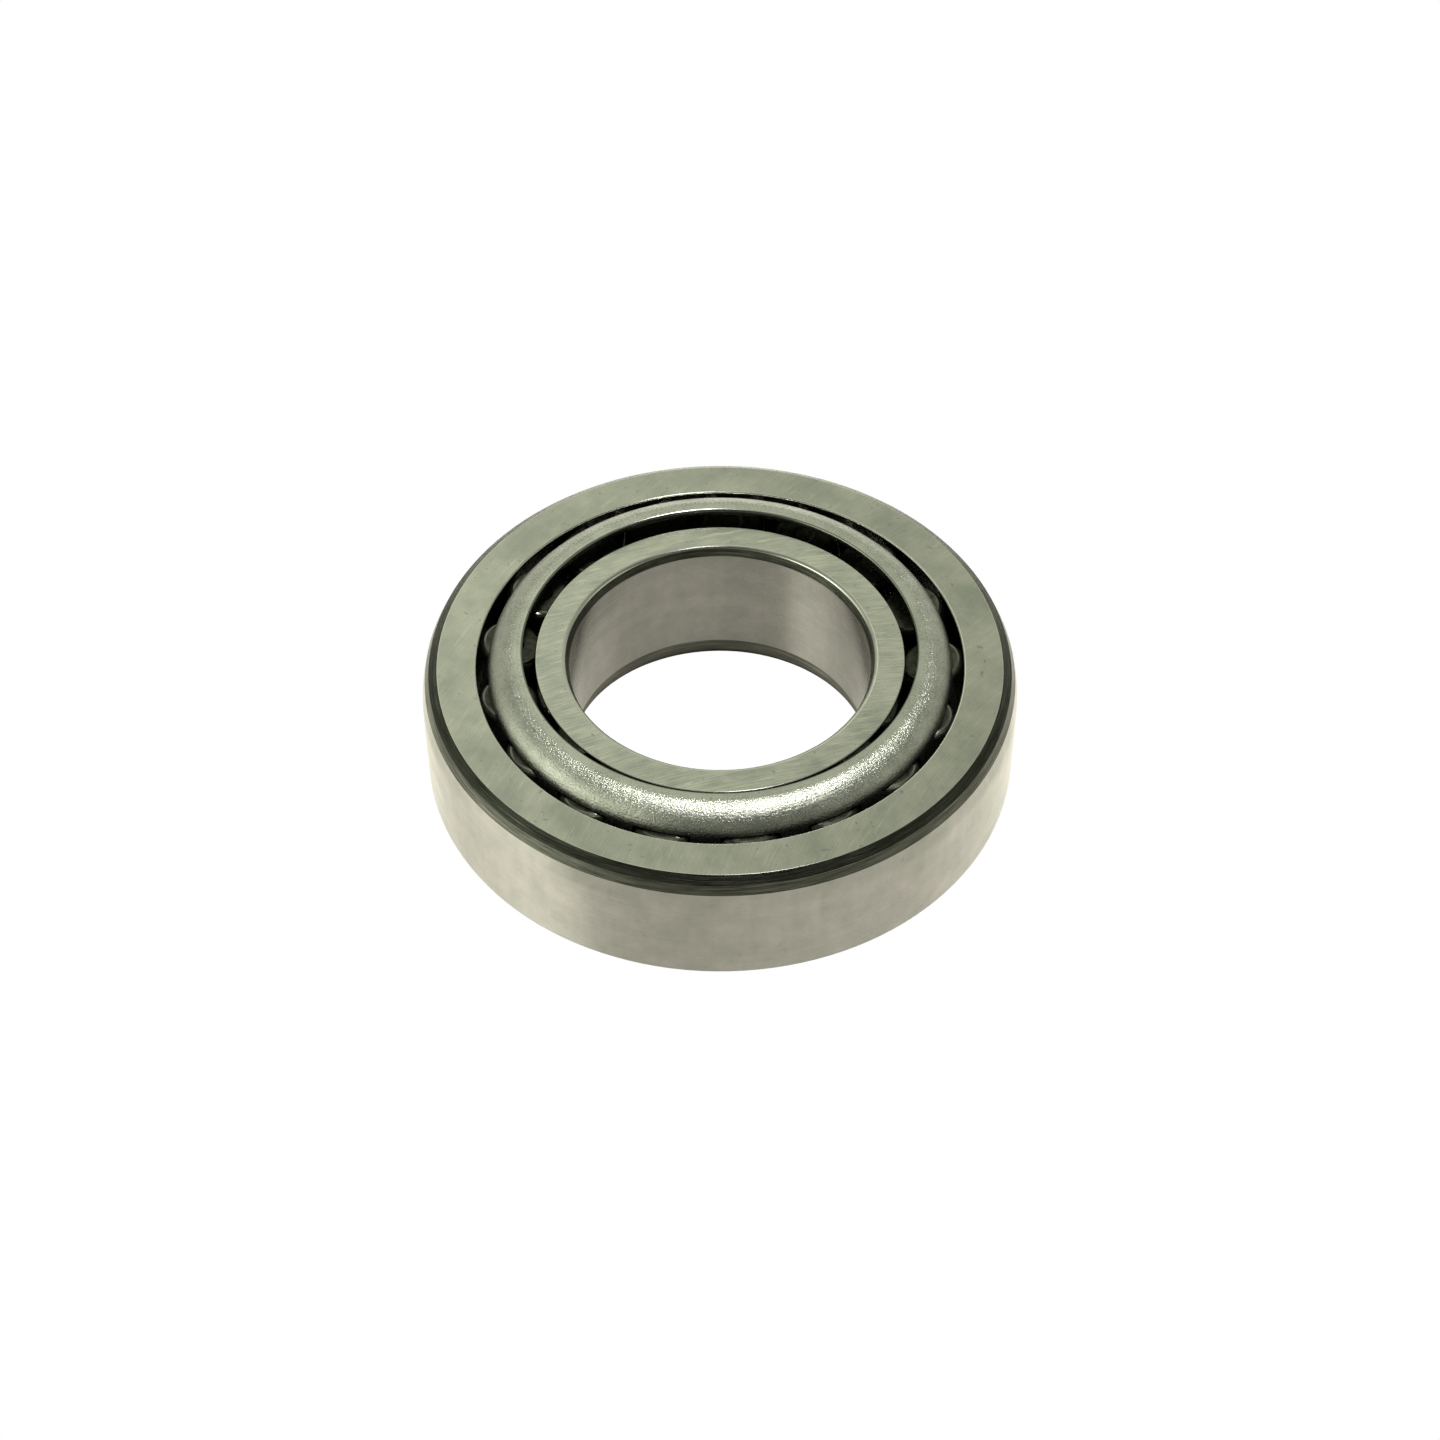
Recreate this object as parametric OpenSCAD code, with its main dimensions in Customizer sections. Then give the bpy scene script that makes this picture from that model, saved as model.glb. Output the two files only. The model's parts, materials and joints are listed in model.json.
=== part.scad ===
// Single-row tapered roller bearing: an inner ring (the cone), an outer ring (the cup),
// seventeen tapered rollers and a pressed steel cage.
// Millimetres. The bearing axis is Z and z = 0 is the cone's back face, with the cup's
// back face and the rollers' small ends upwards. The two raceways and every roller's
// axis meet in one apex on the Z axis, so that the rollers roll without slipping.

/* [Boundary sizes] */
// Bore diameter of the cone
bore_d = 25.4; // [25:0.1:26]
// Outside diameter of the cup
outer_d = 50.292; // [49.992:0.1:51.292]
// Width from the cone's back face to the cup's back face
bearing_w = 14.224; // [14.124:0.05:14.474]
// Width of the cone
cone_w = 14.732; // [14.632:0.05:14.982]
// Width of the cup
cup_w = 10.668; // [10.168:0.1:10.968]

/* [Raceways] */
// Half angle of the cup's raceway, in degrees
cup_angle = 14; // [13.8:0.1:14.2]
// Half angle of the taper of one roller, in degrees
roller_taper = 1.9; // [1.85:0.01:1.95]
// Radius of the cup's raceway in the plane of the cup's back face
cup_throat_r = 20.45; // [20.35:0.05:20.6]
// Gap between a roller and each raceway or guiding rib
running_gap = 0.035; // [0.03:0.005:0.05]

/* [Rollers] */
// Number of rollers
roller_count = 17; // [15:1:17]
// Height of the middle of a roller's large end above the cone's back face
roller_base_z = 3.9; // [3.8:0.05:4]
// Length of a roller
roller_l = 9.6; // [9.4:0.05:9.7]
// Rounding of a roller's two end edges
roller_edge_r = 0.7; // [0.5:0.05:0.8]
// Radius of the shallow dimple in each end of a roller
dimple_r = 1; // [0.8:0.1:1.2]
// Depth of that dimple
dimple_depth = 0.15; // [0.1:0.01:0.2]

/* [Cone] */
// Radius of the large rib, which guides the rollers' large ends
large_rib_r = 18.25; // [18:0.05:18.4]
// Radius of the small rib, which keeps the rollers on the cone
small_rib_r = 15.565; // [15.465:0.05:15.665]
// Gap between a roller's small end and the small rib
small_rib_gap = 0.3; // [0.2:0.05:0.4]
// Radius of the two grinding undercuts beside the raceway
undercut_r = 0.32; // [0.2:0.02:0.4]
// Rounding of the bore at the back face
back_bore_r = 3.5; // [3:0.1:3.8]
// Width of the bore's chamfer at the front face
front_chamfer_w = 0.32; // [0.2:0.02:0.5]
// Depth of the bore's chamfer at the front face
front_chamfer_h = 0.87; // [0.5:0.01:1.2]
// Rounding between that chamfer and the front face
front_edge_r = 0.4; // [0.3:0.05:0.4]

/* [Cup] */
// Width of the outer corner at the back face, out to the full diameter
corner_w = 1.366; // [1.32:0.01:1.42]
// Height of the corner's two flats together
corner_h = 1.32; // [1.26:0.01:1.38]
// Width of the upper flat, from the back face to the ridge between the flats
ridge_w = 0.735; // [0.68:0.01:0.78]
// Height of the upper flat
ridge_h = 0.5; // [0.45:0.01:0.55]
// How far the outside eases in towards the corner below the lower flat
ease_w = 0.27; // [0.24:0.01:0.3]
// Height over which it eases in
ease_h = 1.3; // [1.2:0.1:1.4]
// Rounding between that ease and the full diameter
ease_r = 4; // [3:0.5:5]
// Rounding of the outer corner at the front face
front_corner_r = 0.25; // [0.15:0.05:0.5]
// Size of the lead-in chamfer between the front face and the raceway
lead_in = 0.5; // [0.3:0.05:0.6]

/* [Cage] */
// Thickness of the cage's sheet
cage_t = 0.7; // [0.6:0.05:0.8]
// Distance of the cage's outer side from the cone on which the rollers' axes lie
cage_offset = 1.82; // [1.75:0.01:1.9]
// Height of the cage's flange above the cup's back face
flange_rise = 1.6; // [1.4:0.01:1.7]
// Radius of the hole in the cage's flange
flange_hole_r = 16.55; // [16.4:0.01:16.7]
// Outer bend radius between the flange and the sloping wall
bend_r = 2.5; // [2.2:0.1:2.6]
// How far the cage's rim reaches past the rollers' large ends
rim_l = 2.6; // [2.2:0.1:2.8]
// Gap between a roller and its pocket
pocket_gap = 0.12; // [0.08:0.01:0.15]

/* [Hidden] */
function two_digits(n) = n < 10 ? str("0", n) : str(n);
roller_names = [for (i = [1:roller_count]) str("roller_", two_digits(i))];

$fn = 96;
edge_break = 0.15; // rounding of edges that are only deburred

bore_r = bore_d / 2;
outer_r = outer_d / 2;
cup_front_z = bearing_w - cup_w;

// The common apex of both raceways and the rollers' axes
apex_z = bearing_w + cup_throat_r / tan(cup_angle);
axis_tilt = cup_angle - roller_taper;
base_r = (apex_z - roller_base_z) * tan(axis_tilt);
base_to_apex = (apex_z - roller_base_z) / cos(axis_tilt);

// Radius and height of a point that lies s along a roller's axis from its large end
// and h outwards from that axis
function at(s, h) = [
    base_r - s * sin(axis_tilt) + h * cos(axis_tilt),
    roller_base_z + s * cos(axis_tilt) + h * sin(axis_tilt)
];
// How far outwards from the roller's axis the radius r lies, at s along that axis
function h_at_radius(r, s) = (r - base_r + s * sin(axis_tilt)) / cos(axis_tilt);
// The same for the height z
function s_at_height(z, h) = (z - roller_base_z - h * sin(axis_tilt)) / cos(axis_tilt);
// Distance from a roller's axis to either raceway, at s along the axis
function race_h(s) = (base_to_apex - s) * tan(roller_taper);
// Radius of the cup's raceway at the height z
function cup_race_r(z) = (apex_z - z) * tan(cup_angle);

function unit(v) = v / norm(v);
// Straight pieces that stand for a rounded corner of radius r
function arc_steps(r) = max(6, 3 + ceil(4 * r));
function turned(v, a) = [v[0] * cos(a) - v[1] * sin(a), v[0] * sin(a) + v[1] * cos(a)];

// The arc of radius r that rounds the corner b between its neighbours a and c
function corner_arc(a, b, c, r) =
    let (
        u = unit(a - b),
        v = unit(c - b),
        half = acos(u * v) / 2,
        middle = b + unit(u + v) * r / sin(half),
        first = b + u * r / tan(half) - middle,
        last = b + v * r / tan(half) - middle,
        sweep = (180 - 2 * half) * sign(cross(first, last)),
        steps = arc_steps(r)
    )
    [for (i = [0:steps]) middle + turned(first, sweep * i / steps)];

// A closed outline from corners given as [[x, y], rounding radius]
function rounded(corners) =
    let (n = len(corners))
    [
        for (i = [0:n - 1])
            let (
                b = corners[i][0],
                r = corners[i][1],
                a = corners[(i + n - 1) % n][0],
                c = corners[(i + 1) % n][0]
            )
            each r > 0 ? corner_arc(a, b, c, r) : [b]
    ];

// Inner ring: bore, two ribs and the raceway between them
module cone() {
    rib_s = -running_gap;
    small_s = roller_l + small_rib_gap;
    color("lightgray")
    rotate_extrude()
    difference() {
        polygon(rounded([
            [[bore_r, 0], back_bore_r],
            [[large_rib_r, 0], 2 * edge_break],
            [at(rib_s, h_at_radius(large_rib_r, rib_s)), edge_break],
            [at(rib_s, -race_h(rib_s)), 0],
            [at(small_s, -race_h(small_s)), 0],
            [at(small_s, h_at_radius(small_rib_r, small_s)), edge_break],
            [[small_rib_r, cone_w], edge_break],
            [[bore_r + front_chamfer_w, cone_w], front_edge_r],
            [[bore_r, cone_w - front_chamfer_h], edge_break]
        ]));
        for (s = [rib_s, small_s])
            translate(at(s, -race_h(s)))
                circle(r = undercut_r);
    }
}

// Outer ring, with a two-flat outer corner at its thick end
module cup() {
    race_start_z = cup_front_z + lead_in;
    color("silver")
    rotate_extrude()
    polygon(rounded([
        [[outer_r, cup_front_z], front_corner_r],
        [[outer_r, bearing_w - corner_h - ease_h], ease_r],
        [[outer_r - ease_w, bearing_w - corner_h], edge_break],
        [[outer_r - corner_w + ridge_w, bearing_w - ridge_h], edge_break],
        [[outer_r - corner_w, bearing_w], edge_break],
        [[cup_throat_r, bearing_w], edge_break],
        [[cup_race_r(race_start_z), race_start_z], edge_break],
        [[cup_race_r(race_start_z) + lead_in, cup_front_z], edge_break]
    ]));
}

// One roller, standing on its large end
module roller_blank() {
    base = race_h(0) - running_gap;
    top = race_h(roller_l) - running_gap;
    color("gainsboro")
    rotate_extrude()
    polygon(concat(
        [[0, dimple_depth], [dimple_r - dimple_depth * 2, dimple_depth], [dimple_r, 0]],
        corner_arc([0, 0], [base, 0], [top, roller_l], roller_edge_r),
        corner_arc([base, 0], [top, roller_l], [0, roller_l], roller_edge_r),
        [
            [dimple_r, roller_l],
            [dimple_r - dimple_depth * 2, roller_l - dimple_depth],
            [0, roller_l - dimple_depth]
        ]
    ));
}

// Puts something that stands on z = 0 onto the axis of one roller
module on_roller_axis(index) {
    rotate([0, 0, index * 360 / roller_count - 90])
        translate([base_r, 0, roller_base_z])
            rotate([0, -axis_tilt, 0])
                children();
}

// The sheet of the cage before its pockets are punched
module cage_shell() {
    outer_h = cage_offset;
    inner_h = cage_offset - cage_t;
    top_z = bearing_w + flange_rise;
    under_z = top_z - cage_t;
    rotate_extrude()
    polygon(rounded([
        [at(-rim_l, inner_h), edge_break],
        [at(-rim_l, outer_h), edge_break],
        [at(s_at_height(top_z, outer_h), outer_h), bend_r],
        [[flange_hole_r, top_z], edge_break],
        [[flange_hole_r, under_z], edge_break],
        [at(s_at_height(under_z, inner_h), inner_h), bend_r - cage_t]
    ]));
}

// Pressed cage: a sloping wall with one pocket for each roller, and an inward flange
module cage() {
    color("darkgray")
    difference() {
        cage_shell();
        for (i = [0:roller_count - 1])
            on_roller_axis(i)
                translate([0, 0, -pocket_gap])
                    cylinder(
                        r1 = race_h(-pocket_gap) + pocket_gap,
                        r2 = race_h(roller_l + pocket_gap) + pocket_gap,
                        h = roller_l + 2 * pocket_gap
                    );
    }
}

cone();
cage();
cup();
for (i = [0:roller_count - 1])
    on_roller_axis(i)
            roller_blank();
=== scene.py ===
"""Looks of a single-row tapered roller bearing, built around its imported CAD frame.

Everything is in metres, in the frame's own axes: +Z is the bearing axis and z = 0 is the
face that the bearing stands on. The CAD nodes keep their shape and get finished materials.
"""
import json
import math

import bpy
from mathutils import Euler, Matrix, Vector


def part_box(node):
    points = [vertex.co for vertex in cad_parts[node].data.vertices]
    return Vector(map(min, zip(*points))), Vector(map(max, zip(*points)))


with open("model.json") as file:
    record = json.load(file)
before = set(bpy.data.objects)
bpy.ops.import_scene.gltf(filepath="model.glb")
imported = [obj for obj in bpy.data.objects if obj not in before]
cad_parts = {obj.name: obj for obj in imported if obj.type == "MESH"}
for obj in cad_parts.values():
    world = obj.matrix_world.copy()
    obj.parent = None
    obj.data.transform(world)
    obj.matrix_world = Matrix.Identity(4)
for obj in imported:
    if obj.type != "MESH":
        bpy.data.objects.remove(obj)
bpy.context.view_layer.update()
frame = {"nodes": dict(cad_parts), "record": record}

MM = 0.001

# Places and sizes read from the frame
CUP_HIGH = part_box("cup")[1]
CUP_R = CUP_HIGH.x
CUP_FACE_Z = CUP_HIGH.z
CONE_BORE_R = min(math.hypot(v.co.x, v.co.y) for v in frame["nodes"]["cone"].data.vertices)
JOINT_AXES = {
    joint["child"]: Vector(joint["axis"]) for joint in frame["record"]["behaviour"]["joints"]
}

# Places where a finish changes, and where painted shade begins on the cage
CONE_FILLET_Z = 3.5 * MM     # the bore's rounding at the back face ends here
CAGE_HOLE_R = 16.7 * MM      # just outside the rounded edge of the hole in the cage's flange; inside it painted shade darkens the sheet
CAGE_FLAT_R = 16.9 * MM      # the cage's flat flange begins to bend here
CAGE_SHADE_Z = CUP_FACE_Z + 0.6 * MM   # below this height the cage is darkened as painted shade for the gap under the cup's face

# The photograph's viewpoint, from the middle of the cup's upper face
VIEW_TURN = math.radians(-7.2)         # round the axis from the first roller
VIEW_DISTANCE = 10.14 * CUP_R
VIEW_ELEVATION = math.radians(45.84)   # of the camera's place
VIEW_PITCH = math.radians(47.01)       # of the camera's aim, below the horizon
VIEW_FIELD = 2.10625                   # focal length over frame width
SENSOR_W = 36.0                        # mm

# The stage: how large and how far below the bearing the floor lies, and the overhead lamp
FLOOR_SIDE = 4.0
FLOOR_DROP = 0.05 * MM
LAMP_SIDES = (0.10, 0.18)
LAMP_RIGHT, LAMP_AWAY, LAMP_UP = 0.072, -0.015, 0.60   # from the bearing, as the viewer sees it

# Tints of the steel, from (red, green, blue) factors on its brightness
STEEL_TINT = (1.0, 0.99, 0.96)
SHEET_TINT = (0.99, 1.0, 0.945)
FACE_DARK = (0.96, 1.0, 0.96)
FACE_LIGHT = (1.02, 1.0, 0.92)
GREENISH = (0.96, 1.0, 0.91)
PINKISH = (1.02, 0.98, 0.95)
DARK_TINT = (0.99, 1.0, 0.78)


def tinted(value, tint=STEEL_TINT):
    """A colour of that brightness with the tint."""
    return (value * tint[0], value * tint[1], value * tint[2], 1.0)


# ---------------------------------------------------------------- camera, stage, light

def add_camera():
    """Camera at the photograph's angle and distance."""
    flat = VIEW_DISTANCE * math.cos(VIEW_ELEVATION)
    data = bpy.data.cameras.new("camera")
    data.sensor_width = SENSOR_W
    data.lens = VIEW_FIELD * SENSOR_W
    data.clip_start = 0.01
    camera = bpy.data.objects.new("camera", data)
    camera.location = (
        flat * math.sin(VIEW_TURN),
        -flat * math.cos(VIEW_TURN),
        CUP_FACE_Z + VIEW_DISTANCE * math.sin(VIEW_ELEVATION),
    )
    camera.rotation_euler = Euler((math.pi / 2 - VIEW_PITCH, 0, VIEW_TURN))
    bpy.context.scene.collection.objects.link(camera)
    bpy.context.scene.camera = camera


def from_view(right, away, up):
    """A place given to the viewer's right, away from the viewer and up."""
    c, s = math.cos(VIEW_TURN), math.sin(VIEW_TURN)
    return Vector((right * c - away * s, right * s + away * c, up))


class Graph:
    """Short spellings for the nodes of one shader."""

    def __init__(self, tree):
        self.tree = tree

    def node(self, kind, **settings):
        made = self.tree.nodes.new(kind)
        for name, value in settings.items():
            setattr(made, name, value)
        return made

    def feed(self, socket, value):
        """Links a socket to another, or sets it to a constant."""
        if isinstance(value, bpy.types.NodeSocket):
            self.tree.links.new(value, socket)
        else:
            socket.default_value = value

    def math(self, operation, *values, clamp=False):
        made = self.node("ShaderNodeMath", operation=operation, use_clamp=clamp)
        for socket, value in zip(made.inputs, values):
            self.feed(socket, value)
        return made.outputs[0]

    def weighted(self, *parts):
        """Sum of values times their weights, given as (value, weight)."""
        total = 0.0
        for value, weight in parts:
            total = self.math("MULTIPLY_ADD", value, weight, total)
        return total

    def length(self, x, y):
        """Length of the flat vector (x, y)."""
        return self.math("SQRT", self.math("MULTIPLY_ADD", x, x, self.math("MULTIPLY", y, y)))

    def vector(self, operation, *values):
        made = self.node("ShaderNodeVectorMath", operation=operation)
        for socket, value in zip(made.inputs, values):
            self.feed(socket, value)
        return made.outputs["Value" if operation == "DOT_PRODUCT" else "Vector"]

    def scaled(self, vector, factor):
        made = self.node("ShaderNodeVectorMath", operation="SCALE")
        self.feed(made.inputs[0], vector)
        self.feed(made.inputs["Scale"], factor)
        return made.outputs["Vector"]

    def split(self, vector):
        made = self.node("ShaderNodeSeparateXYZ")
        self.feed(made.inputs[0], vector)
        return made.outputs

    def join(self, x, y, z=0.0):
        made = self.node("ShaderNodeCombineXYZ")
        for socket, value in zip(made.inputs, (x, y, z)):
            self.feed(socket, value)
        return made.outputs[0]

    def noise(self, vector, scale=1.0, detail=3.0, roughness=0.55):
        made = self.node("ShaderNodeTexNoise")
        self.feed(made.inputs["Vector"], vector)
        for name, value in (("Scale", scale), ("Detail", detail), ("Roughness", roughness)):
            made.inputs[name].default_value = value
        return made.outputs["Fac"]

    def span(self, value, low, high, first=0.0, last=1.0, smooth=False):
        """Maps low..high of a value onto first..last, and holds it there."""
        made = self.node("ShaderNodeMapRange")
        made.interpolation_type = "SMOOTHSTEP" if smooth else "LINEAR"
        for name, number in (
            ("From Min", low), ("From Max", high), ("To Min", first), ("To Max", last),
        ):
            made.inputs[name].default_value = number
        self.feed(made.inputs["Value"], value)
        return made.outputs["Result"]

    def blend(self, factor, first, second):
        """Colour between two others."""
        made = self.node("ShaderNodeMix", data_type="RGBA")
        self.feed(made.inputs[0], factor)
        self.feed(made.inputs[6], first)
        self.feed(made.inputs[7], second)
        return made.outputs[2]


def blank_material(name):
    """A material without nodes, and its graph."""
    material = bpy.data.materials.new(name)
    material.use_nodes = True
    material.node_tree.nodes.clear()
    return material, Graph(material.node_tree)


def add_stage(name, corners, height, material):
    """One flat face of the stage at that height."""
    mesh = bpy.data.meshes.new(name)
    mesh.from_pydata([(x, y, 0.0) for x, y in corners], [], [tuple(range(len(corners)))])
    mesh.materials.append(material)
    piece = bpy.data.objects.new(name, mesh)
    piece.location.z = height
    bpy.context.scene.collection.objects.link(piece)
    return piece


def add_floor():
    """A plain white floor. The steel mirrors the studio's own lower half instead."""
    material, graph = blank_material("floor_white")
    glow = graph.node("ShaderNodeEmission")
    glow.inputs["Color"].default_value = (1, 1, 1, 1)
    glow.inputs["Strength"].default_value = 1.0
    graph.feed(graph.node("ShaderNodeOutputMaterial").inputs["Surface"], glow.outputs[0])
    half = FLOOR_SIDE / 2
    corners = [(-half, -half), (half, -half), (half, half), (-half, half)]
    floor = add_stage("floor", corners, -FLOOR_DROP, material)
    floor.visible_diffuse = False
    floor.visible_glossy = False
    floor.visible_shadow = False


def add_shade():
    """The darkness under the bearing: full below the roller space, soft inside the bore."""
    material, graph = blank_material("floor_shade")
    x, y, _ = graph.split(graph.node("ShaderNodeTexCoord").outputs["Object"])
    radius = graph.length(x, y)
    soft = graph.span(radius, 6 * MM, CONE_BORE_R, 1.0, 0.55)
    inside = graph.math("LESS_THAN", radius, CONE_BORE_R + 0.3 * MM)
    through = graph.node("ShaderNodeBsdfTransparent")
    graph.feed(through.inputs["Color"], graph.math("MULTIPLY", soft, inside))
    graph.feed(graph.node("ShaderNodeOutputMaterial").inputs["Surface"], through.outputs[0])
    count, reach = 96, CUP_R - 0.4 * MM
    turns = [2 * math.pi * i / count for i in range(count)]
    corners = [(reach * math.cos(turn), reach * math.sin(turn)) for turn in turns]
    shade = add_stage("floor_shade", corners, -2 * FLOOR_DROP, material)
    shade.visible_camera = False


# Brightness of the surroundings by bearing from the viewer, as (degrees to the viewer's
# right, brightness): below the horizon, a little above it, and high up
LOW_BAND = (
    (-180, 2.60), (-150, 1.30), (-118, 0.86), (-104, 0.92), (-80, 1.08), (-60, 1.05),
    (-54, 0.52), (-20, 0.50), (30, 0.58), (75, 0.62), (105, 0.86), (125, 0.96), (150, 1.35),
    (180, 2.60),
)
MIDDLE_BAND = (
    (-180, 0.64), (-150, 0.46), (-125, 0.38), (-100, 1.00), (-75, 2.60), (-55, 2.20),
    (-35, 0.30), (0, 0.13), (50, 0.24), (80, 0.75), (110, 0.36), (150, 0.50), (180, 0.64),
)
HIGH_BAND = (
    (-180, 0.66), (-170, 1.05), (-145, 0.50), (-105, 0.42), (-60, 0.36), (-30, 0.12),
    (0, 0.10), (60, 0.16), (110, 0.28), (165, 0.54), (180, 0.66),
)
LOW_TINT = (1.0, 0.965, 0.82)
HIGH_TINT = (0.94, 1.0, 0.77)


def band(graph, bearing, stops):
    """Brightness along a band of (bearing, brightness) stops."""
    ramp = graph.node("ShaderNodeValToRGB")
    ramp.color_ramp.interpolation = "EASE"
    elements = ramp.color_ramp.elements
    for index, (degrees, value) in enumerate(stops):
        position = (degrees + 180) / 360
        element = elements[index] if index < 2 else elements.new(position)
        element.position = position
        element.color = (value, value, value, 1)
    graph.feed(ramp.inputs[0], bearing)
    return ramp.outputs[0]


def add_world():
    """Soft studio surroundings, brighter to the left and behind than on the viewer's side."""
    world = bpy.data.worlds.new("studio")
    bpy.context.scene.world = world
    world.use_nodes = True
    graph = Graph(world.node_tree)
    background = world.node_tree.nodes["Background"]
    direction = graph.node("ShaderNodeTexCoord").outputs["Generated"]
    near = graph.vector("DOT_PRODUCT", direction, tuple(from_view(0, -1, 0)))
    right = graph.vector("DOT_PRODUCT", direction, tuple(from_view(1, 0, 0)))
    up = graph.split(direction)[2]
    bearing = graph.math("MULTIPLY_ADD", graph.math("ARCTAN2", right, near), 0.5 / math.pi, 0.5)
    low = graph.vector("MULTIPLY", band(graph, bearing, LOW_BAND), LOW_TINT)
    middle = graph.vector("MULTIPLY", band(graph, bearing, MIDDLE_BAND), HIGH_TINT)
    high = graph.vector("MULTIPLY", band(graph, bearing, HIGH_BAND), HIGH_TINT)
    lower = graph.blend(graph.span(up, -0.12, 0.10, smooth=True), low, middle)
    high = graph.scaled(high, graph.span(up, 0.68, 0.78, 1.0, 0.72, smooth=True))
    colour = graph.blend(graph.span(up, 0.42, 0.64, smooth=True), lower, high)
    graph.feed(background.inputs["Color"], colour)
    background.inputs["Strength"].default_value = 1.0


def add_lamp(name, energy, nodes):
    """A soft lamp overhead that faces straight down and lights only the named nodes."""
    data = bpy.data.lights.new(name, "AREA")
    data.shape = "RECTANGLE"
    data.size, data.size_y = LAMP_SIDES
    data.energy = energy
    data.color = (0.98, 1.0, 0.90)
    lamp = bpy.data.objects.new(name, data)
    lamp.location = from_view(LAMP_RIGHT, LAMP_AWAY, LAMP_UP)
    lamp.rotation_euler = (0, 0, VIEW_TURN)
    bpy.context.scene.collection.objects.link(lamp)
    lit = bpy.data.collections.new(name)
    for node in nodes:
        lit.objects.link(frame["nodes"][node])
    lamp.light_linking.receiver_collection = lit


def add_lamps():
    """The overhead light, dimmer on the rings, whose flat faces would mirror it whole."""
    rings = ("cup", "cone")
    add_lamp("overhead_rings", 0.28, rings)
    add_lamp("overhead_cage", 2.5, [name for name in frame["nodes"] if name not in rings])


# ---------------------------------------------------------------- steel finishes

class Steel(Graph):
    """A procedural steel: colour, roughness and bump from object-space patterns in mm."""

    def __init__(self, name):
        self.material = bpy.data.materials.new(name)
        self.material.use_nodes = True
        super().__init__(self.material.node_tree)
        self.surface = self.tree.nodes["Principled BSDF"]
        self.surface.inputs["Metallic"].default_value = 1.0
        place = self.node("ShaderNodeTexCoord").outputs["Object"]
        self.mm = self.scaled(place, 1 / MM)
        self.x, self.y, self.z = self.split(self.mm)
        self.radius = self.length(self.x, self.y)
        self.angle = self.math("ARCTAN2", self.y, self.x)

    def color(self, factor, dark, light, tint=STEEL_TINT, light_tint=None):
        self.feed(
            self.surface.inputs["Base Color"],
            self.blend(factor, tinted(dark, tint), tinted(light, light_tint or tint)),
        )

    def roughness(self, factor, low, high):
        self.feed(self.surface.inputs["Roughness"], self.span(factor, 0.0, 1.0, low, high))

    def bump(self, *layers):
        """Stacks bump layers of (height, depth in mm)."""
        normal = None
        for height, depth in layers:
            made = self.node("ShaderNodeBump")
            made.inputs["Distance"].default_value = depth * MM
            self.feed(made.inputs["Height"], height)
            if normal is not None:
                self.feed(made.inputs["Normal"], normal)
            normal = made.outputs["Normal"]
        self.feed(self.surface.inputs["Normal"], normal)

    def arcs(self, centre, spacing, run):
        """Long arcs about a far centre, as a grinding wheel leaves them: lines about
        spacing mm apart that each go on for about run mm."""
        away_x = self.math("SUBTRACT", self.x, centre[0])
        away_y = self.math("SUBTRACT", self.y, centre[1])
        reach = math.hypot(*centre)
        distance = self.length(away_x, away_y)
        turn = self.math("MULTIPLY", self.math("ARCTAN2", away_y, away_x), reach / run)
        return self.noise(self.join(self.math("DIVIDE", distance, spacing), turn), detail=2.5)

    def rings(self, across, spacing, run, radius, detail=2.5):
        """Lines round the axis, about spacing mm apart and run mm long."""
        turn_x = self.math("MULTIPLY", self.math("COSINE", self.angle), radius / run)
        turn_y = self.math("MULTIPLY", self.math("SINE", self.angle), radius / run)
        return self.noise(
            self.join(turn_x, turn_y, self.math("DIVIDE", across, spacing)), detail=detail)


def ground_face(name, centres, tone, marks):
    """A flat face from a double-disc grinder: soft stains under faint crossing arcs, with
    bolder strokes and nicks. marks is how strongly the arcs and strokes show."""
    steel = Steel(name)
    first = steel.arcs(centres[0], 0.14, 6.0)
    second = steel.arcs(centres[1], 0.2, 5.0)
    broad = steel.arcs(centres[0], 0.5, 2.4)
    strokes = steel.span(steel.arcs(centres[0], 0.3, 3.5), 0.60, 0.70)
    grain = steel.noise(steel.mm, 9.0, 3.0, 0.6)
    blotch = steel.noise(steel.mm, 0.25, 3.0, 0.6)
    pits = steel.span(steel.noise(steel.mm, 1.7, 1.0, 0.4), 0.24, 0.29, 0.0, 1.0)
    cross = steel.weighted((first, 0.7), (second, 0.3))
    lines = steel.weighted((cross, 0.6), (broad, 0.4))
    lit = steel.weighted(
        (steel.span(lines, 0.36, 0.64, -0.5, 0.5), marks),
        (strokes, 1.2 * marks),
        (steel.span(blotch, 0.34, 0.66, 0.22, 0.78), 1.0),
    )
    marks_and_painted_shade = steel.math("MULTIPLY", lit, pits, clamp=True)
    steel.color(marks_and_painted_shade, tone * 0.76, tone * 1.22, FACE_DARK, FACE_LIGHT)
    steel.roughness(steel.span(cross, 0.35, 0.65), 0.20, 0.30)
    steel.bump((steel.span(cross, 0.3, 0.7), 0.008 * marks), (grain, 0.004))
    return steel.material


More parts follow.
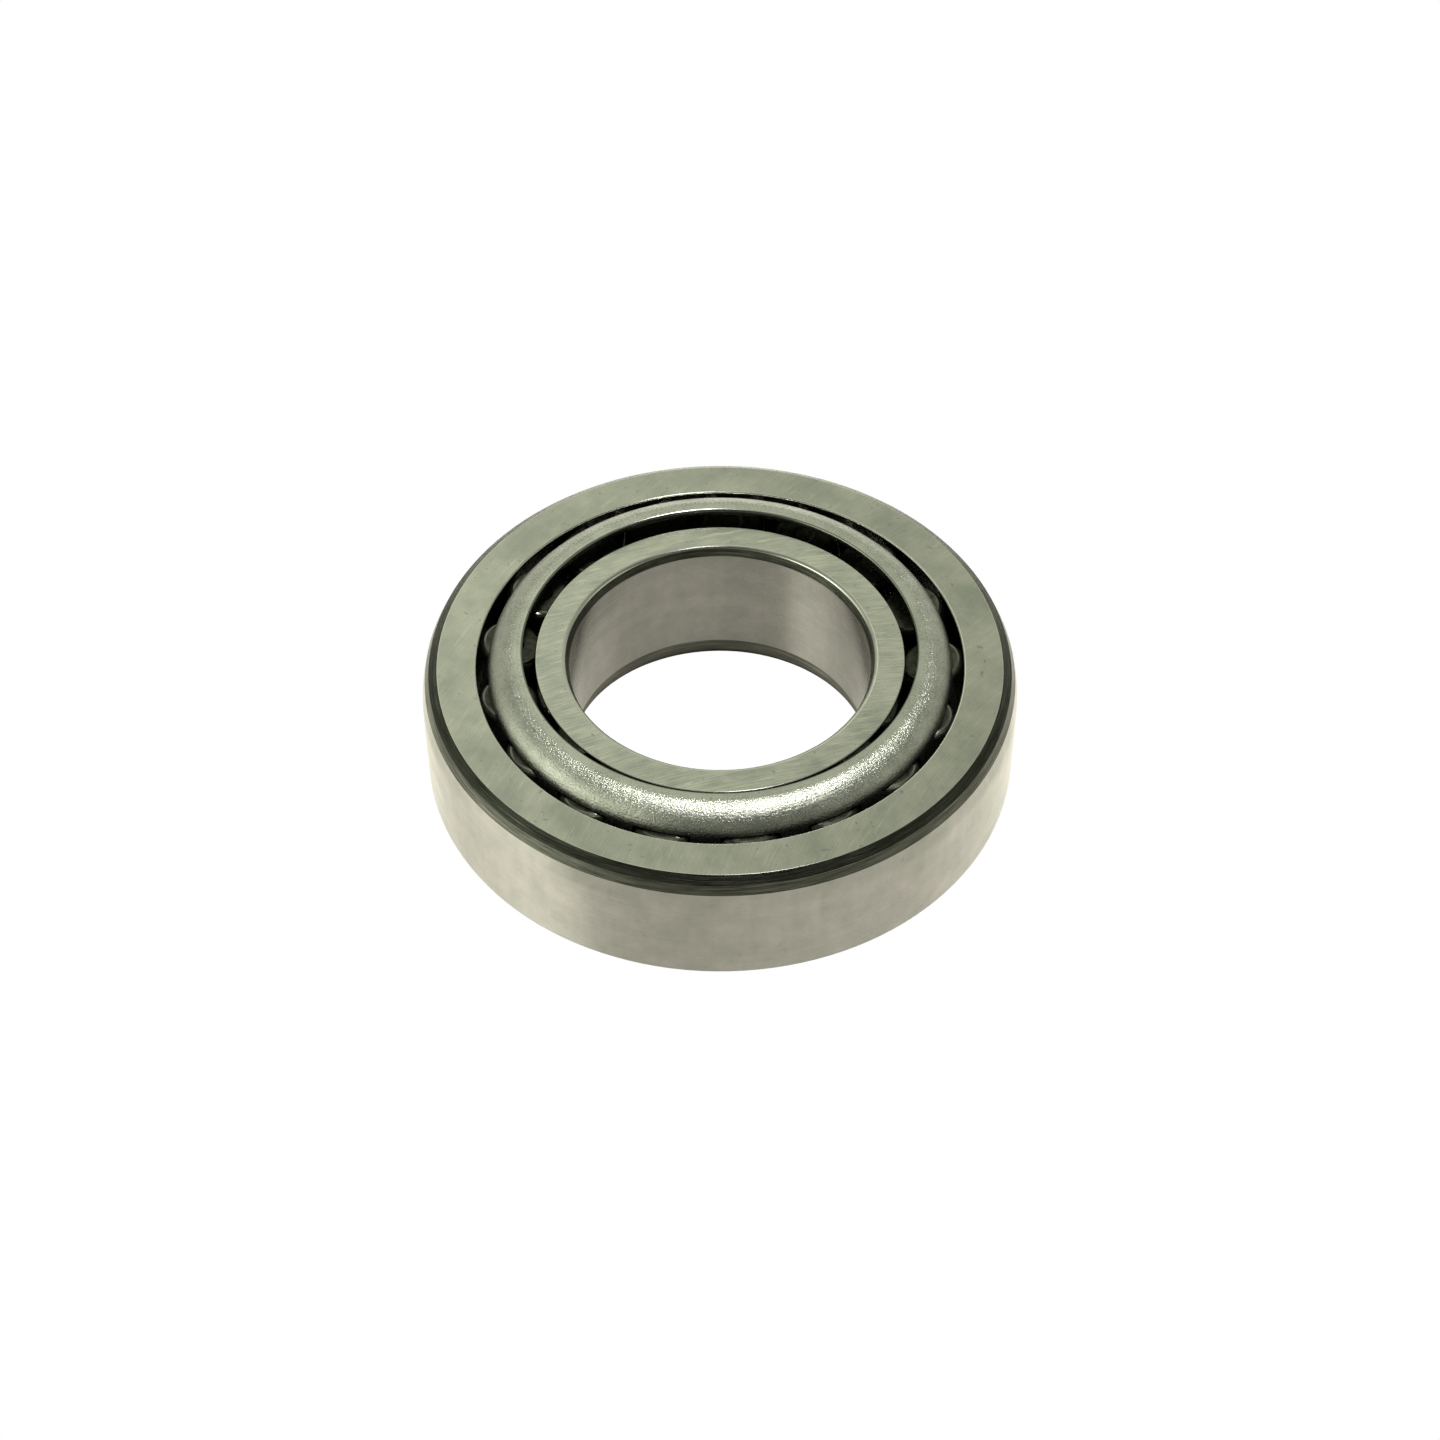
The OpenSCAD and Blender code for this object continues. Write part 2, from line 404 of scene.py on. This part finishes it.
def ground_round(name, tone, radius, low, high):
    """A centreless-ground cylinder: very fine rings, upright streaks and faint stains."""
    steel = Steel(name)
    fine = steel.rings(steel.z, 0.11, 14.0, radius)
    broad = steel.rings(steel.z, 1.4, 9.0, radius)
    streak = steel.rings(steel.z, 16.0, 1.1, radius)
    stain = steel.noise(steel.mm, 0.4, 5.0, 0.7)
    grain = steel.noise(steel.mm, 8.0, 3.0, 0.6)
    spots = steel.span(steel.noise(steel.mm, 1.3, 2.0, 0.5), 0.22, 0.28, 0.0, 1.0)
    shade = steel.weighted((fine, 0.25), (stain, 0.6), (streak, 0.15))
    marks_and_painted_shade = steel.math("MULTIPLY", steel.span(shade, 0.36, 0.64), spots)
    steel.color(marks_and_painted_shade, tone * 0.86, tone * 1.12, GREENISH, PINKISH)
    steel.roughness(steel.span(steel.math("ADD", fine, broad), 0.7, 1.3), low, high)
    steel.bump((fine, 0.004), (grain, 0.003))
    steel.surface.inputs["Anisotropic"].default_value = 0.6
    steel.surface.inputs["Anisotropic Rotation"].default_value = 0.25
    tangent = steel.node("ShaderNodeTangent", direction_type="RADIAL", axis="Z")
    steel.feed(steel.surface.inputs["Tangent"], tangent.outputs[0])
    return steel.material


def turned(name, tone, radius, low, high):
    """A chamfer left as turned: coarse, broken grooves, dark with bright crests."""
    steel = Steel(name)
    across = steel.math("SUBTRACT", steel.radius, steel.z)
    grooves = steel.rings(across, 0.12, 4.0, radius, 4.0)
    coarse = steel.rings(across, 0.4, 3.0, radius, 3.0)
    crest = steel.span(steel.rings(across, 0.2, 6.0, radius, 3.0), 0.56, 0.70, 0.0, 0.6)
    grain = steel.noise(steel.mm, 7.0, 3.0, 0.6)
    shade = steel.weighted((grooves, 0.6), (coarse, 0.4))
    lit = steel.math("MULTIPLY_ADD", steel.span(shade, 0.36, 0.66), 0.5, crest)
    steel.color(lit, tone * 0.45, tone * 2.0, DARK_TINT, GREENISH)
    steel.roughness(steel.span(grooves, 0.35, 0.65), low, high)
    steel.bump((steel.span(grooves, 0.3, 0.7), 0.022), (coarse, 0.03), (grain, 0.006))
    return steel.material


def pressed(name, tone):
    """The cage's pressed sheet: a fine sparkling grain, smooth on the flat flange, darkened as
    painted shade below the cup's face and round the edge of the flange's hole."""
    steel = Steel(name)
    shade_z, flat_r, hole_r = CAGE_SHADE_Z / MM, CAGE_FLAT_R / MM, CAGE_HOLE_R / MM
    grain = steel.noise(steel.mm, 5.5, 2.0, 0.55)
    fine = steel.noise(steel.mm, 11.0, 2.0, 0.5)
    blotch = steel.noise(steel.mm, 0.4, 3.0, 0.6)
    specks = steel.span(steel.noise(steel.mm, 2.3, 1.0, 0.3), 0.19, 0.25, 0.6, 1.0)
    shade = steel.weighted((grain, 0.5), (blotch, 0.5))
    bright = steel.math("MULTIPLY", steel.span(shade, 0.36, 0.64, 0.40, 1.0), specks)
    # painted shade: the sheet darkens towards the bottom, below the cup's face, where it sinks
    # into the gap
    marks_and_painted_shade = steel.span(steel.z, shade_z - 1.8, shade_z, smooth=True)
    bend = steel.span(steel.radius, flat_r, flat_r + 0.9, smooth=True)
    # painted shade: the rounded edge of the flange's hole is darkened to dim its glint
    rim = steel.span(steel.radius, hole_r - 0.02, hole_r, 0.12, 1.0)
    flat = steel.math("MULTIPLY", rim, steel.span(bend, 0.0, 1.0, 1.25, 1.0))
    seen = steel.math("MULTIPLY", marks_and_painted_shade, flat)
    steel.color(steel.math("MULTIPLY", bright, seen), tone * 0.45, tone * 1.12, SHEET_TINT)
    rough = steel.math("MULTIPLY", steel.span(grain, 0.3, 0.7, 0.5, 1.0), bend)
    steel.roughness(rough, 0.20, 0.33)
    steel.bump(
        (steel.math("MULTIPLY", grain, bend), 0.04),
        (steel.math("MULTIPLY", fine, bend), 0.028),
    )
    return steel.material


def dull(name, tone):
    """An end face with a mottled tone, painted very dark as painted shade for the gap it sits
    in.
    """
    steel = Steel(name)
    mottle = steel.noise(steel.mm, 1.6, 4.0, 0.65)
    grain = steel.noise(steel.mm, 7.0, 3.0, 0.6)
    steel.color(steel.span(mottle, 0.35, 0.65), tone * 0.6, tone * 1.5, DARK_TINT)
    steel.roughness(steel.span(grain, 0.3, 0.7), 0.35, 0.5)
    steel.bump((grain, 0.01))
    return steel.material


def honed(name, tone, low, high):
    """A raceway or a roller's side: nearly a mirror, with faint stains."""
    steel = Steel(name)
    stain = steel.noise(steel.mm, 0.6, 3.0, 0.6)
    grain = steel.noise(steel.mm, 10.0, 3.0, 0.6)
    steel.color(steel.span(stain, 0.35, 0.65), tone * 0.92, tone * 1.06)
    steel.roughness(steel.span(grain, 0.3, 0.7), low, high)
    steel.bump((grain, 0.0012))
    return steel.material


# ---------------------------------------------------------------- finishes onto the nodes

def paint(node, finishes, choose):
    """Gives each face of a node the finish that choose(centre, normal) names."""
    mesh = frame["nodes"][node].data
    order = list(finishes)
    mesh.materials.clear()
    for name in order:
        mesh.materials.append(finishes[name])
    for face in mesh.polygons:
        face.material_index = order.index(choose(face.center, face.normal))


def outward(centre, normal):
    """How far a face's normal points away from the bearing axis."""
    return (centre.x * normal.x + centre.y * normal.y) / math.hypot(centre.x, centre.y)


def cup_finish(centre, normal):
    out = outward(centre, normal)
    if abs(normal.z) > 0.999:
        return "face"
    if out > 0.95:
        return "outside"
    if out < -0.9:
        return "race"
    if centre.z > CUP_FACE_Z - 0.2 * MM and (normal.z > 0.9 or out < 0):
        return "edge"
    return "corner top" if normal.z > 0.6 else "corner side"


def cone_finish(centre, normal):
    out = outward(centre, normal)
    if abs(normal.z) > 0.999:
        return "face"
    if out < -0.995:
        return "bore" if centre.z > CONE_FILLET_Z else "fillet"
    if centre.z > CUP_FACE_Z and (normal.z > 0.5 or out > 0):
        return "edge"
    if out > 0.9:
        return "race"
    return "corner" if centre.z > CONE_FILLET_Z else "fillet"


def finish_rings():
    """Inner and outer ring."""
    bore_r = CONE_BORE_R / MM
    cup_r = CUP_R / MM
    paint("cup", {
        "face": ground_face("cup_face_steel", ((70, -60), (-95, -40)), 0.53, 0.28),
        "outside": ground_round("cup_outside_steel", 0.60, cup_r, 0.26, 0.36),
        "race": honed("cup_race_steel", 0.50, 0.12, 0.2),
        # painted highlight in part: the honed edge gets a lighter tone than the raceway, so its
        # reflected line shows brighter
        "edge": honed("cup_edge_steel", 0.75, 0.16, 0.24),
        # painted shade: the corner's upper facet gets a darker tone than its lower facet,
        # though both are the same turned finish
        "corner top": turned("cup_corner_top_steel", 0.07, cup_r, 0.28, 0.40),
        "corner side": turned("cup_corner_side_steel", 0.165, cup_r, 0.26, 0.38),
    }, cup_finish)
    paint("cone", {
        "face": ground_face("cone_face_steel", ((12, -95), (-30, 110)), 0.60, 0.80),
        # painted shade: the bore's tone is set below the outside's, for the shaded inside of
        # the ring
        "bore": ground_round("cone_bore_steel", 0.45, bore_r, 0.24, 0.34),
        "race": honed("cone_race_steel", 0.50, 0.12, 0.2),
        # painted highlight in part: the honed edge gets a lighter tone than the raceway, so its
        # reflected line shows brighter
        "edge": honed("cone_edge_steel", 0.70, 0.16, 0.24),
        "corner": turned("cone_corner_steel", 0.16, bore_r, 0.34, 0.5),
        "fillet": turned("cone_fillet_steel", 0.2, bore_r, 0.34, 0.5),
    }, cone_finish)


def finish_cage():
    paint("cage", {"sheet": pressed("cage_sheet_steel", 0.54)}, lambda centre, normal: "sheet")


def roller_finish(axis, middle_r):
    """An end face, the ring just round it, its dark rounding, or the side; the end, ring and
    rounding are painted dark as painted shade. The ring is bright only beyond the radius
    middle_r; inside it, it is painted darker still, as painted shade for the gap between cage
    and cone."""
    def choose(centre, normal):
        along = abs(normal.dot(axis))
        if along > 0.97:
            return "end"
        if along > 0.85:
            return "ring" if math.hypot(centre.x, centre.y) > middle_r else "inner ring"
        return "side" if along < 0.1 else "rounding"
    return choose


def finish_rollers():
    """Bright sides, and dull end faces painted dark as painted shade."""
    finishes = {
        "side": honed("roller_side_steel", 0.56, 0.14, 0.24),
        # painted shade: the rings, ends and roundings get far darker tones than the sides, the
        # inner ring darkest of the rings
        "ring": honed("roller_ring_steel", 0.20, 0.10, 0.16),
        "inner ring": honed("roller_inner_ring_steel", 0.08, 0.10, 0.16),
        "end": dull("roller_end_steel", 0.06),
        "rounding": dull("roller_rounding_steel", 0.04),
    }
    for name in frame["nodes"]:
        if name.startswith("roller_"):
            low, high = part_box(name)
            middle = (low + high) / 2
            middle_r = math.hypot(middle.x, middle.y)
            paint(name, finishes, roller_finish(JOINT_AXES[name], middle_r))


add_camera()
add_floor()
add_shade()
add_world()
add_lamps()
finish_rings()
finish_cage()
finish_rollers()
bpy.context.scene.view_settings.view_transform = "Standard"
